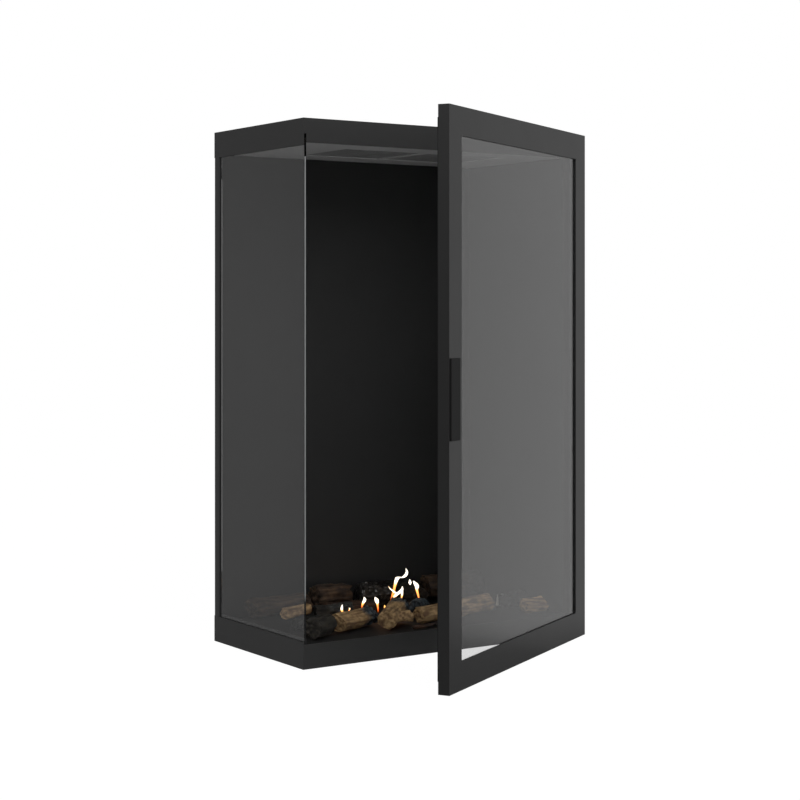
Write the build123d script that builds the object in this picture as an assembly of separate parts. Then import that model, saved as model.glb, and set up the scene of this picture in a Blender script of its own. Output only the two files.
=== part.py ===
"""Two-sided corner fireplace: casing open to the front and left, side glass, hinged glass door, gas log fire.

Millimetres. The origin is the middle of the casing's base, +Z is up and the door is on the -Y side.
The fixed glass is on the left, at -X, and the door turns on a vertical line near the right front corner.
"""

import math
import os

from build123d import *

# Casing
WIDTH = 642.0
DEPTH = 341.0
HEIGHT = 1000.0
FRONT_BAND = 45.0
SIDE_BAND = 50.0
JAMB = 40.0
JAMB_RETURN = 18.0
POST = 20.0
POST_RETURN = 7.5
SHEET = 1.5
LINER = 1.5
BEND = 1.0
TOP_RECESS = 10.0
TOP_FLANGE = 12.0
FOLD = 14.0
ANGLE_LEG = 15.0
ANGLE_SHEET = 2.0
HINGE_POST_SHEET = 3.0
HINGE_POST_LEG = 28.0
CLEAR = 0.3

# Fixing holes in the base
FIXING_X = 560.0
FIXING_Y = 260.0
FIXING_HOLE = 9.0

# Side glass
SIDE_GLASS = 4.0
GLASS_GAP = 0.5
GLASS_LIP = 22.0
GLASS_ARRIS = 0.5
SIDE_SEAL = 6.0
RAIL_LEG = 11.0

# Ceiling windows, grilles and flue
WINDOW_X = 176.0
WINDOW_Y = 164.0
WINDOW_PITCH = 188.0
WINDOW_SHIFT = -14.5
GRILLE_LAP = 5.0
GRILLE_SHEET = 1.5
SLOT_LENGTH = 50.0
SLOT_WIDTH = 3.5
SLOT_COLUMNS = 3
SLOT_ROWS = 20
SLOT_PITCH_X = 57.0
SLOT_PITCH_Y = 7.6
FLUE_BOX_HEIGHT = 18.5
FLUE_BOX_GAP = 1.0
FLUE_INNER = 100.0
FLUE_OUTER = 150.0
COLLAR_WALL = 1.2
COLLAR_FLANGE = 12.0
COLLAR_RISE = 8.0
RESTRICTOR = 140.0
RESTRICTOR_HOLE = 60.0

# Burner
DECK_X = 436.0
DECK_Y = 166.0
DECK_LAP = 8.0
BOX_FLANGE = 14.0
BOX_DEPTH = 27.0
PORT_LENGTH = 18.0
PORT_WIDTH = 2.5
PORT_COLUMNS = 15
PORT_ROWS = 3
PORT_PITCH_X = 27.0
PORT_PITCH_Y = 50.0
TUBE = 22.0
TUBE_WALL = 1.0
TUBE_PITCH = 100.0
TUBE_REACH = 26.0
TUBE_PORTS = 8
MOUTH = 26.0
INJECTOR_GAP = 4.0
INJECTOR_LENGTH = 18.0
INJECTOR_HEX = 12.0
MANIFOLD = 16.0
MANIFOLD_LENGTH = 150.0
MANIFOLD_BORE = 8.0
PIPE = 8.0
PIPE_WALL = 1.0
PIPE_BEND = 22.0
PIPE_RUN = 29.0
UNION_LENGTH = 26.0
UNION_HEX = 17.0
UNION_SOCKET = 14.0
PIPE_CLEAR = 0.05

# Pilot
PILOT_Y = -20.5
PILOT_PLATE_X = 44.0
PILOT_PLATE_Y = 20.0
PILOT_SHEET = 1.5
PILOT_SPACING = 14.0
PILOT_HEIGHT = 22.0
PILOT_DROP = 6.0
PILOT_BODY = 10.0
PROBE = 5.0
PILOT_COLLAR = 1.0

# Door
DOOR_WIDTH = 636.5
DOOR_THICK = 21.0
DOOR_GAP = 1.9
DOOR_UNDERCUT = 1.0
DOOR_FACE = 50.0
DOOR_SHEET = 2.0
DOOR_STILE = 38.0
DOOR_EDGE_RADIUS = 5.0
DOOR_GLASS = 4.0
DOOR_GLASS_LAP = 10.0
GLASS_TAPE = 1.3
BEAD = 10.0
BEAD_SHEET = 1.5
DOOR_SEAL = 8.0
DOOR_SEAL_THICK = 1.5
SEAL_INSET = 22.0
MAGNET_LENGTH = 40.0
MAGNET_WIDTH = 10.0
MAGNET_THICK = 4.0

# Handle plate
HANDLE_WIDTH = 36.0
HANDLE_HEIGHT = 140.0
HANDLE_THICK = 3.0
HANDLE_INSET = 2.8
HANDLE_MIDDLE = 500.0
HANDLE_CHAMFER = 0.6

# Hinge
REST_ANGLE = 29.2
OPEN_ANGLE = 95.0
PIVOT_INSET = 9.0
PIN = 8.0
PIN_CLEAR = 0.05
PIN_HEAD = 10.0
PIN_HEAD_HEIGHT = 2.0
ARM_WIDTH = 14.0
ARM_THICK = 6.0
HINGE_END = 120.0
BRACKET_FOOT = 5.0
BRACKET_HEIGHT = 40.0
BLOCK_HEIGHT = 60.0
BLOCK_WIDTH = 30.0
WASHER = 13.0
WASHER_THICK = 1.0
ARM_CLEAR = 0.5

# Logs: the set is laid out for a firebox of this floor size
LOG_SET_X = 592.0
LOG_SET_Y = 318.0
LOG_SEAT = 0.3
LOG_SIDES = 9
LOG_STATIONS = 5
LOG_RIPPLE = 0.07

# Name, middle of the log from the firebox's left front corner, length, diameter, turn, tilt, split side,
# roll of the split side, and the phase of its bark's ripple
LOGS = [
    ("log_front_left", 54, 36, 68, 46, 30, 0, 0.80, 120, 0.4),
    ("log_front_middle", 152, 76, 118, 44, 24, 0, 0.60, 40, 1.3),
    ("log_front_tilted", 232, 66, 116, 43, 45, 5, 0.80, 20, 2.1),
    ("log_ember_plank", 284, 12, 92, 14, 0, 0, 0.55, 0, 0.9),
    ("log_front_right", 379, 71, 216, 38, 14, 0, 0.70, 60, 2.9),
    ("log_blue_black", 330, 124, 62, 42, 42, 0, 0.90, 200, 0.2),
    ("log_right_front", 548, 36, 50, 34, -9, 0, 0.65, 30, 1.9),
    ("log_right_charred", 542, 94, 60, 38, 10, 0, 0.90, 0, 2.4),
    ("log_left_under", 75, 124, 72, 26, 15, 0, 0.90, 90, 3.3),
    ("log_left_middle", 152, 152, 84, 32, -5, 0, 0.80, 150, 1.1),
    ("log_left_branch", 60, 134, 78, 28, 22, 0, 0.60, 80, 0.7),
    ("log_plank", 236, 222, 114, 32, -10, 0, 0.60, 10, 2.6),
    ("log_back_left", 108, 284, 128, 44, 2, 0, 0.85, 60, 1.6),
    ("log_back_rough", 224, 277, 80, 58, -4, 0, 0.80, 100, 0.1),
    ("log_back_black", 318, 262, 90, 54, 2, 0, 0.90, 220, 2.0),
    ("log_end_on", 397, 247, 84, 46, 84, 0, 0.90, 45, 1.4),
    ("log_back_right", 517, 272, 132, 54, -6, 0, 0.80, 70, 3.0),
]

# Name of the log, place of its branch stub as a share of its length, and the stub's turn, length and diameter
STUBS = [
    ("log_front_tilted", -0.25, -75, 42, 26),
    ("log_left_branch", 0.05, 32, 44, 18),
    ("log_back_right", 0.15, -60, 46, 30),
    ("log_front_left", 0.1, 100, 34, 24),
]

# Places worked out from the sizes above
left = -WIDTH / 2
right = WIDTH / 2
front = -DEPTH / 2
back = DEPTH / 2
floor_top = FRONT_BAND
ceiling_under = HEIGHT - FRONT_BAND
top_plate_top = HEIGHT - TOP_RECESS
glass_left = left + SHEET + GLASS_GAP
glass_right = glass_left + SIDE_GLASS
glass_front = front + CLEAR
glass_back = back - POST - SIDE_SEAL
glass_bottom = FRONT_BAND + 1.0
glass_top = HEIGHT - SIDE_BAND + GLASS_LIP
room_left = glass_right + SHEET + 2 * CLEAR
room_right = right - JAMB - LINER
room_front = front + SHEET + CLEAR
room_back = back - POST - LINER
post_front = back - POST
flue_y = WINDOW_SHIFT
flue_box_top = ceiling_under + SHEET + FLUE_BOX_HEIGHT
tube_level = floor_top - LINER - BOX_DEPTH / 2 - SHEET / 2
union_left = right - UNION_LENGTH
manifold_middle = union_left - PIPE_RUN
manifold_left = manifold_middle - MANIFOLD / 2
tube_end = manifold_left - INJECTOR_LENGTH - INJECTOR_GAP
box_right = tube_end - TUBE_REACH
deck_x = box_right + DECK_LAP - DECK_X / 2
deck_y = 0.0
pilot_x = box_right + BOX_FLANGE + PILOT_SPACING + PROBE
pipe_turn_y = MANIFOLD_LENGTH / 2 + 2 * PIPE_BEND

# The door is drawn closed and then swung to the photographed angle
door_right = right
door_left = door_right - DOOR_WIDTH
door_bottom = DOOR_UNDERCUT
door_top = HEIGHT
door_back_face = front - DOOR_GAP
door_front_face = door_back_face - DOOR_THICK
pivot_x = door_right - PIVOT_INSET
pivot_y = door_back_face - DOOR_THICK / 2
arm_levels = [HINGE_END, HEIGHT - HINGE_END]
post_web = front + SHEET + CLEAR + HINGE_POST_SHEET
arm_end = post_web + BRACKET_FOOT


def block(x0, x1, y0, y1, z0, z1):
    """Rectangular solid between the given limits."""
    middle = Pos((x0 + x1) / 2, (y0 + y1) / 2, (z0 + z1) / 2)
    return middle * Box(x1 - x0, y1 - y0, z1 - z0)


def sheet_along_z(points, z0, z1, sheet):
    """Folded sheet whose section is drawn in plan, upright between two heights."""
    section = trace(FilletPolyline(*points, radius=BEND + sheet / 2), sheet)
    return extrude(Plane.XY.offset(z0) * section, z1 - z0)


def sheet_along_x(points, x0, x1, sheet):
    """Folded sheet whose section is drawn in Y and Z, running from left to right."""
    section = trace(FilletPolyline(*points, radius=BEND + sheet / 2), sheet)
    return extrude(Plane.YZ.offset(x0) * section, x1 - x0)


def sheet_along_y(points, y0, y1, sheet):
    """Folded sheet whose section is drawn in X and Z, running from front to back."""
    section = trace(FilletPolyline(*points, radius=BEND + sheet / 2), sheet)
    return extrude(Plane(origin=(0, y1, 0), x_dir=(1, 0, 0), z_dir=(0, -1, 0)) * section, y1 - y0)


def tray(x0, x1, y0, y1, z0, z1, sheet, open_up=True):
    """Sheet tray, open at the top or at the bottom."""
    body = block(x0, x1, y0, y1, z0, z1)
    order = body.faces().sort_by(Axis.Z)
    mouth = order[-1] if open_up else order[0]
    return offset(body, amount=-sheet, openings=mouth)


def ring(radius, wall, z0, z1):
    """Tube on a vertical axis at the origin."""
    outline = Circle(radius) - Circle(radius - wall)
    return extrude(Plane.XY.offset(z0) * outline, z1 - z0)


def turned(points, axis_at, direction):
    """Turned piece: radius and distance pairs, revolved and laid along a direction."""
    profile = make_face(Polyline(*[(r, 0, d) for r, d in points], close=True))
    piece = revolve(profile, Axis.Z)
    return Plane(origin=axis_at, z_dir=direction) * piece


def base_pan():
    """Folded tray: its front and left walls are the lower visible bands."""
    pan = tray(left, right, front, back, 0, SIDE_BAND, SHEET)
    pan -= block(left + SHEET, right + 1, front - 1, back + 1, FRONT_BAND, SIDE_BAND + 1)
    for spot in GridLocations(FIXING_X, FIXING_Y, 2, 2):
        pan -= spot * Cylinder(FIXING_HOLE / 2, 4 * SHEET)
    inlet = Pos(right, pipe_turn_y, tube_level) * Rot(0, 90, 0)
    pan -= inlet * Cylinder(UNION_SOCKET / 2 + CLEAR, 4 * SHEET)
    return pan


def top_frame():
    """Upper bands: a ring of sheet with a flange turned in at the top and a notch for the glass."""
    outside = Rectangle(WIDTH, DEPTH)
    inside = Rectangle(WIDTH - 2 * SHEET, DEPTH - 2 * SHEET)
    wall = extrude(Plane.XY.offset(HEIGHT - SIDE_BAND) * (outside - inside), SIDE_BAND)
    wall -= block(left + SHEET, right + 1, front - 1, back + 1, HEIGHT - SIDE_BAND - 1, ceiling_under)
    mouth = Rectangle(WIDTH - 2 * TOP_FLANGE, DEPTH - 2 * TOP_FLANGE)
    flange = extrude(Plane.XY.offset(HEIGHT - SHEET) * (outside - mouth), SHEET)
    notch = block(left + SHEET, glass_right + CLEAR, front - 1, front + SHEET + 1, ceiling_under - 1, glass_top)
    return wall + flange - notch


def top_plate():
    """Recessed tray that closes the casing under the flange of the upper bands."""
    edge = SHEET + CLEAR
    plate = tray(left + edge, right - edge, front + edge, back - edge, top_plate_top - SHEET,
                 HEIGHT - SHEET, SHEET)
    return plate - Pos(0, flue_y, top_plate_top) * Cylinder(FLUE_OUTER / 2 - COLLAR_WALL, 4 * SHEET)


def rear_casing():
    """Back sheet folded round the left rear corner into the narrow post beside the glass."""
    half = SHEET / 2
    points = [
        (left + POST_RETURN, post_front + half),
        (left + half, post_front + half),
        (left + half, back - half),
        (right, back - half),
    ]
    casing = sheet_along_z(points, floor_top, ceiling_under, SHEET)
    for z0, z1 in [(floor_top, SIDE_BAND), (HEIGHT - SIDE_BAND, ceiling_under)]:
        casing -= block(left - 1, left + SHEET, post_front - 1, back + 1, z0, z1)
    return casing


def right_casing():
    """Side sheet folded into the hinge jamb at the front, with slots for the hinge arms."""
    half = SHEET / 2
    points = [
        (right - JAMB + half, front + JAMB_RETURN),
        (right - JAMB + half, front + half),
        (right - half, front + half),
        (right - half, back - SHEET - CLEAR - half),
        (right - POST, back - SHEET - CLEAR - half),
    ]
    return sheet_along_z(points, floor_top, ceiling_under, SHEET) - arm_slots()


def arm_slots():
    """Slots that the hinge arms pass through on their way to the hinge post."""
    slots = []
    for level in arm_levels:
        half = ARM_WIDTH / 2 + CLEAR
        high = ARM_THICK / 2 + CLEAR
        slots.append(block(pivot_x - half, pivot_x + half, front - 1, arm_end + CLEAR, level - high, level + high))
    return Part() + slots


def hinge_post():
    """Channel behind the jamb, from the base to the top plate, that carries the door."""
    half = HINGE_POST_SHEET / 2
    x0 = right - JAMB + SHEET + CLEAR + half
    x1 = right - SHEET - CLEAR - half
    y0 = front + SHEET + CLEAR + half
    points = [(x0, y0 + HINGE_POST_LEG), (x0, y0), (x1, y0), (x1, y0 + HINGE_POST_LEG)]
    return sheet_along_z(points, SHEET, top_plate_top - SHEET, HINGE_POST_SHEET) - arm_slots()


def rear_posts():
    """Two angles in the rear corners that tie the base to the top."""
    half = ANGLE_SHEET / 2
    inset = SHEET + CLEAR + half
    y_left = back - inset
    y_right = back - inset - SHEET - CLEAR
    left_angle = [(left + inset, y_left - ANGLE_LEG), (left + inset, y_left), (left + inset + ANGLE_LEG, y_left)]
    right_angle = [(right - inset, y_right - ANGLE_LEG), (right - inset, y_right),
                   (right - inset - ANGLE_LEG, y_right)]
    z1 = top_plate_top - SHEET
    return Part() + [sheet_along_z(points, SHEET, z1, ANGLE_SHEET) for points in (left_angle, right_angle)]


def floor_plate():
    """Black floor of the firebox, level with the lower front band, with the burner's opening."""
    half = LINER / 2
    level = floor_top - half
    points = [
        (room_front + half, level - FOLD),
        (room_front + half, level),
        (room_back + LINER - half, level),
        (room_back + LINER - half, level - FOLD),
    ]
    plate = sheet_along_x(points, room_left, room_right + LINER, LINER)
    plate -= Pos(deck_x, deck_y, level) * Box(DECK_X, DECK_Y, 4 * LINER)
    room = PILOT_PLATE_X - 6 * PILOT_SHEET
    deep = PILOT_PLATE_Y - 4 * PILOT_SHEET
    return plate - Pos(pilot_x, PILOT_Y, level) * Box(room, deep, 4 * LINER)


def back_liner():
    """Black back sheet of the firebox, its ends turned back."""
    half = LINER / 2
    y = room_back + half
    points = [
        (room_left + half, y + FOLD / 2),
        (room_left + half, y),
        (room_right + LINER - half, y),
        (room_right + LINER - half, y + FOLD / 2),
    ]
    return sheet_along_z(points, floor_top + CLEAR, ceiling_under - CLEAR, LINER)


def right_liner():
    """Black right-hand sheet of the firebox, lapped inside the jamb's return."""
    half = LINER / 2
    x = room_right + half
    points = [(x, room_front), (x, room_back - CLEAR - half), (x - FOLD, room_back - CLEAR - half)]
    return sheet_along_z(points, floor_top + CLEAR, ceiling_under - CLEAR, LINER)


def window_places():
    """Middles of the two ceiling windows."""
    return [Pos(x, WINDOW_SHIFT) for x in (-WINDOW_PITCH / 2, WINDOW_PITCH / 2)]


def ceiling_panel():
    """Ceiling of the firebox with its front and back edges turned up, and two windows."""
    half = SHEET / 2
    level = ceiling_under + half
    points = [
        (room_front + half, level + FOLD),
        (room_front + half, level),
        (room_back + LINER - half, level),
        (room_back + LINER - half, level + FOLD),
    ]
    panel = sheet_along_x(points, room_left, room_right + LINER, SHEET)
    for place in window_places():
        panel -= place * Pos(0, 0, level) * Box(WINDOW_X, WINDOW_Y, 4 * SHEET)
    return panel


def ceiling_grille(place):
    """Slotted plate laid over a ceiling window from above."""
    outline = RectangleRounded(WINDOW_X + 2 * GRILLE_LAP, WINDOW_Y + 2 * GRILLE_LAP, GRILLE_LAP)
    slots = GridLocations(SLOT_PITCH_X, SLOT_PITCH_Y, SLOT_COLUMNS, SLOT_ROWS) * Rectangle(SLOT_LENGTH, SLOT_WIDTH)
    plate = extrude(outline - slots, GRILLE_SHEET)
    return place * Pos(0, 0, ceiling_under + SHEET) * plate


def flue_box():
    """Hood over both ceiling windows with a round way up into the inner collar."""
    x = WINDOW_PITCH / 2 + WINDOW_X / 2 + GRILLE_LAP + SHEET + FLUE_BOX_GAP
    y = WINDOW_Y / 2 + GRILLE_LAP + SHEET + FLUE_BOX_GAP
    hood = tray(-x, x, flue_y - y, flue_y + y, ceiling_under + SHEET, flue_box_top, SHEET, open_up=False)
    return hood - Pos(0, flue_y, flue_box_top) * Cylinder(FLUE_INNER / 2 - COLLAR_WALL, 4 * SHEET)


def collar(diameter, z0, z1):
    """Flue collar: a short tube standing on a flat flange."""
    r = diameter / 2
    points = [
        (r - COLLAR_WALL, z0),
        (r + COLLAR_FLANGE, z0),
        (r + COLLAR_FLANGE, z0 + COLLAR_WALL),
        (r, z0 + COLLAR_WALL),
        (r, z1),
        (r - COLLAR_WALL, z1),
    ]
    return turned(points, (0, flue_y, 0), (0, 0, 1))


def restrictor_plate():
    """Plate with a smaller hole, held up inside the flue box under the collar."""
    plate = Box(RESTRICTOR, RESTRICTOR, SHEET) - Cylinder(RESTRICTOR_HOLE / 2, 4 * SHEET)
    return Pos(0, flue_y, flue_box_top - 1.5 * SHEET) * plate


def side_glass():
    """Fixed pane on the left, tucked behind the bands, its front edge bare at the corner."""
    pane = block(glass_left, glass_right, glass_front, glass_back, glass_bottom, glass_top)
    return chamfer(pane.edges().filter_by(Axis.Y), GLASS_ARRIS)


def side_glass_seal():
    """Rope seal between the glass and the rear post, seen as a dark line."""
    return block(glass_left, glass_right, glass_back + CLEAR, post_front - CLEAR, glass_bottom + BEND,
                 glass_top - BEND)


def side_glass_rails():
    """Lower and upper angles that hold the glass against the bands."""
    half = SHEET / 2
    x0 = left + SHEET + CLEAR
    x1 = glass_right + CLEAR + half
    under = glass_bottom - CLEAR - half
    over = glass_top + CLEAR + half
    low = [(x0, under), (x1, under), (x1, under + RAIL_LEG)]
    high = [(x0, over), (x1, over), (x1, ceiling_under)]
    return Part() + [sheet_along_y(points, room_front, post_front, SHEET) for points in (low, high)]


def burner_box():
    """Sheet box hung in the floor plate, its flange carrying the deck."""
    x = DECK_X / 2 - DECK_LAP
    y = DECK_Y / 2 - DECK_LAP
    top = floor_top - LINER
    body = tray(deck_x - x, deck_x + x, deck_y - y, deck_y + y, top - BOX_DEPTH, top, SHEET)
    rim = Rectangle(2 * (x + BOX_FLANGE), 2 * (y + BOX_FLANGE)) - Rectangle(2 * (x - SHEET), 2 * (y - SHEET))
    body += extrude(Plane.XY.offset(top - SHEET) * Pos(deck_x, deck_y) * rim, SHEET)
    for y_tube in tube_places():
        body -= Pos(box_right, y_tube, tube_level) * Rot(0, 90, 0) * Cylinder(TUBE / 2 + CLEAR, 4 * SHEET)
    return body


def burner_deck():
    """Deck with rows of flame ports, flush in the floor plate's opening."""
    outline = Rectangle(DECK_X - 2 * CLEAR, DECK_Y - 2 * CLEAR)
    ports = GridLocations(PORT_PITCH_X, PORT_PITCH_Y, PORT_COLUMNS, PORT_ROWS) * Rectangle(PORT_LENGTH, PORT_WIDTH)
    return Pos(deck_x, deck_y, floor_top - LINER) * extrude(outline - ports, LINER)


def tube_places():
    """Distances from front to back of the two burner tubes."""
    return [deck_y - TUBE_PITCH / 2, deck_y + TUBE_PITCH / 2]


def burner_tubes():
    """Two tubes with closed left ends, flared mouths and a row of ports on top."""
    start = deck_x - DECK_X / 2 + DECK_LAP + SHEET + CLEAR
    r = TUBE / 2
    flare = MOUTH / 2
    straight = tube_end - TUBE / 2
    points = [
        (0, start),
        (r, start),
        (r, straight),
        (flare, tube_end),
        (flare - TUBE_WALL, tube_end),
        (r - TUBE_WALL, straight),
        (r - TUBE_WALL, start + TUBE_WALL),
        (0, start + TUBE_WALL),
    ]
    tubes = []
    for y in tube_places():
        tube = turned(points, (0, y, tube_level), (1, 0, 0))
        for spot in GridLocations(DECK_X / (TUBE_PORTS + 1), 0, TUBE_PORTS, 1):
            tube -= spot * Pos(deck_x, y, tube_level + r) * Box(PORT_WIDTH, PORT_LENGTH / 2, TUBE / 4)
        tubes.append(tube)
    return Part() + tubes


def gas_manifold():
    """Bored bar on two feet, with a hole for each injector."""
    half = MANIFOLD / 2
    long = MANIFOLD_LENGTH / 2
    bar = Pos(manifold_middle, deck_y, tube_level) * Box(MANIFOLD, MANIFOLD_LENGTH, MANIFOLD)
    for y in (-long + half, long - half):
        bar += block(manifold_middle - half, manifold_middle + half, deck_y + y - half / 2, deck_y + y + half / 2,
                     SHEET, tube_level)
    way = Pos(manifold_middle, deck_y + half, tube_level) * Rot(90, 0, 0)
    bar -= way * Cylinder(MANIFOLD_BORE / 2 + PIPE_CLEAR, MANIFOLD_LENGTH)
    for y in tube_places():
        bar -= Pos(manifold_left, y, tube_level) * Rot(0, 90, 0) * Cylinder(INJECTOR_HEX / 4, MANIFOLD)
    return bar


def gas_injectors():
    """Hexagonal injectors screwed into the manifold, each aimed into a tube's mouth."""
    injectors = []
    for y in tube_places():
        hexagon = extrude(RegularPolygon(INJECTOR_HEX / 2, 6, major_radius=False), INJECTOR_LENGTH / 2)
        tip = Pos(0, 0, INJECTOR_LENGTH * 0.75) * Cone(INJECTOR_HEX / 3, INJECTOR_HEX / 6, INJECTOR_LENGTH / 2)
        stub = Pos(0, 0, -MANIFOLD / 6) * Cylinder(INJECTOR_HEX / 4 - PIPE_CLEAR, MANIFOLD / 3)
        hole = Cylinder(PIPE_WALL / 2, 4 * INJECTOR_LENGTH)
        injector = hexagon + tip + stub - hole
        injectors.append(Plane(origin=(manifold_left, y, tube_level), z_dir=(-1, 0, 0)) * injector)
    return Part() + injectors


def gas_pipe():
    """Pipe from the manifold's back end to the inlet union in the right wall."""
    start = deck_y + MANIFOLD_LENGTH / 2 - MANIFOLD
    end = union_left + UNION_LENGTH / 3
    corner = (manifold_middle, pipe_turn_y, tube_level)
    path = FilletPolyline((manifold_middle, start, tube_level), corner, (end, pipe_turn_y, tube_level),
                          radius=PIPE_BEND)
    outline = Circle(PIPE / 2) - Circle(PIPE / 2 - PIPE_WALL)
    return sweep(Plane(origin=path @ 0, z_dir=path % 0) * outline, path=path)


def gas_inlet_union():
    """Brass union through the right wall, its outer socket open to the supply pipe."""
    r = UNION_SOCKET / 2
    bore = PIPE / 2 + PIPE_CLEAR
    step = UNION_LENGTH / 3
    points = [
        (bore, 0),
        (r, 0),
        (r, UNION_LENGTH),
        (bore, UNION_LENGTH),
        (bore, UNION_LENGTH - 1.6 * step),
        (bore - PIPE_WALL, UNION_LENGTH - 1.6 * step),
        (bore - PIPE_WALL, step + CLEAR),
        (bore, step + CLEAR),
    ]
    at = (union_left, pipe_turn_y, tube_level)
    body = turned(points, at, (1, 0, 0))
    nut = extrude(RegularPolygon(UNION_HEX / 2, 6, major_radius=False) - Circle(r - PIPE_WALL), step)
    return body + Plane(origin=(right - SHEET - CLEAR - step, pipe_turn_y, tube_level), z_dir=(1, 0, 0)) * nut


def pilot_places():
    """Middles of the pilot burner, the electrode and the thermocouple, left to right."""
    return [pilot_x, pilot_x - PILOT_SPACING, pilot_x + PILOT_SPACING]


def pilot_bracket():
    """Small plate over its hole in the floor, with a hole for each of the three pieces it holds."""
    plate = Pos(pilot_x, PILOT_Y, floor_top + PILOT_SHEET / 2) * Box(PILOT_PLATE_X, PILOT_PLATE_Y, PILOT_SHEET)
    sizes = [PILOT_BODY, PROBE, PROBE]
    for x, size in zip(pilot_places(), sizes):
        plate -= Pos(x, PILOT_Y, floor_top) * Cylinder(size / 2 + CLEAR, 6 * PILOT_SHEET)
    return plate


def pilot_piece(x, size, height, points_above):
    """Turned piece standing in the pilot bracket on a collar."""
    seat = PILOT_SHEET
    r = size / 2
    collar_r = r + PILOT_COLLAR
    points = [(0, -PILOT_DROP), (r, -PILOT_DROP), (r, seat), (collar_r, seat), (collar_r, 3 * seat), (r, 3 * seat)]
    points += points_above + [(0, height)]
    return turned(points, (x, PILOT_Y, floor_top), (0, 0, 1))


def pilot_burner():
    """Pilot burner body with a hood whose mouth faces the burner."""
    r = PILOT_BODY / 2
    body = pilot_piece(pilot_places()[0], PILOT_BODY, PILOT_HEIGHT, [(r, PILOT_HEIGHT)])
    mouth = Pos(pilot_x - r, PILOT_Y, floor_top + 0.75 * PILOT_HEIGHT) * Box(r, r, PILOT_HEIGHT / 5)
    return body - mouth


def ignition_electrode():
    """Ceramic rod with a thinner metal tip."""
    r = PROBE / 2
    tall = 0.7 * PILOT_HEIGHT
    return pilot_piece(pilot_places()[1], PROBE, PILOT_HEIGHT, [(r, tall), (r / 2, tall), (r / 2, PILOT_HEIGHT)])


def thermocouple():
    """Metal probe with a domed tip."""
    r = PROBE / 2
    return pilot_piece(pilot_places()[2], PROBE, PILOT_HEIGHT, [(r, PILOT_HEIGHT - r), (r / 2, PILOT_HEIGHT)])


def hinge_brackets():
    """Two arms through the jamb, each welded to a foot behind the hinge post's web."""
    brackets = []
    for level in arm_levels:
        bar = Pos(pivot_x, pivot_y) * Circle(ARM_WIDTH / 2)
        bar += Pos(pivot_x, (pivot_y + arm_end) / 2) * Rectangle(ARM_WIDTH, arm_end - pivot_y)
        bar -= Pos(pivot_x, pivot_y) * Circle(PIN / 2 + PIN_CLEAR)
        arm = extrude(Plane.XY.offset(level - ARM_THICK / 2) * bar, ARM_THICK)
        foot = block(pivot_x - ARM_WIDTH, pivot_x + ARM_WIDTH / 5, post_web, arm_end,
                     level - BRACKET_HEIGHT / 2, level + BRACKET_HEIGHT / 2)
        brackets.append(arm + foot)
    return Part() + brackets


def hinge_washers():
    """Brass washers on the arms that the door's hinge blocks turn on."""
    outline = Circle(WASHER / 2) - Circle(PIN / 2 + 2 * PIN_CLEAR)
    washer = extrude(outline, WASHER_THICK)
    return Part() + [Pos(pivot_x, pivot_y, level + ARM_THICK / 2) * washer for level in arm_levels]


def arm_notches():
    """Openings in the door's hinge stile where the arms come in, wide enough for the whole swing."""
    reach = ARM_WIDTH / 2 + CLEAR
    swing_room = reach / math.cos(math.radians(OPEN_ANGLE - 90)) + PIVOT_INSET * math.tan(math.radians(OPEN_ANGLE - 90))
    notches = []
    for level in arm_levels:
        notches.append(block(pivot_x - reach, door_right + 1, pivot_y - swing_room, door_back_face + 1,
                             level - ARM_THICK / 2 - ARM_CLEAR, level + ARM_THICK / 2 + WASHER_THICK + CLEAR / 3))
    return Part() + notches


def door_outline(inset):
    """Rectangle of the door seen from the front, drawn in X and Z, set in from the door's edge."""
    high = door_top - door_bottom - 2 * inset
    middle = Pos((door_left + door_right) / 2, (door_top + door_bottom) / 2)
    return middle * Rectangle(DOOR_WIDTH - 2 * inset, high)


def door_layer(outline, depth, thick):
    """Flat layer of the door, starting at a depth behind its front face."""
    start = Plane(origin=(0, door_front_face + depth, 0), x_dir=(1, 0, 0), z_dir=(0, -1, 0))
    return extrude(start * outline, -thick)


def door_frame():
    """Folded face frame: a 50 mm face all round and an edge wall as deep as the door."""
    face = door_layer(door_outline(0) - door_outline(DOOR_FACE), 0, DOOR_SHEET)
    wall = door_layer(door_outline(0) - door_outline(DOOR_SHEET), 0, DOOR_THICK)
    frame = face + wall
    return frame - arm_notches() - hinge_edge_cut()


def hinge_edge_cut():
    """What the rounded rear corner of the hinge stile loses, so that it swings past the jamb."""
    r = DOOR_EDGE_RADIUS
    corner = Rectangle(2 * r, 2 * r) - Pos(-r, -r) * Circle(r)
    corner &= Pos(0, 0) * Rectangle(2 * r, 2 * r)
    quarter = corner & (Pos(-r / 2, -r / 2) * Rectangle(r, r))
    place = Pos(door_right, door_back_face, door_bottom - 1)
    return place * extrude(quarter, door_top - door_bottom + 2)


def door_back():
    """Frame of angle that closes the hollow rails and stiles from behind and stands against the face."""
    sheet = BEAD_SHEET
    outer = DOOR_SHEET + CLEAR
    rear = door_layer(door_outline(outer) - door_outline(DOOR_STILE), DOOR_THICK - sheet, sheet)
    leg_depth = DOOR_SHEET + CLEAR
    leg = door_layer(door_outline(DOOR_STILE - sheet) - door_outline(DOOR_STILE), leg_depth,
                     DOOR_THICK - leg_depth)
    frame = rear + leg
    return frame - arm_notches() - hinge_edge_cut() - magnet_pockets()


def glass_inset():
    """Distance from the door's edge to the edge of its glass."""
    return DOOR_FACE - DOOR_GLASS_LAP


def door_glass():
    """Ceramic glass pane behind the face frame."""
    return door_layer(door_outline(glass_inset()), DOOR_SHEET + GLASS_TAPE, DOOR_GLASS)


def door_glass_tape():
    """Soft tape between the face frame and the glass."""
    edge = glass_inset()
    return door_layer(door_outline(edge) - door_outline(DOOR_FACE), DOOR_SHEET, GLASS_TAPE)


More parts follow.
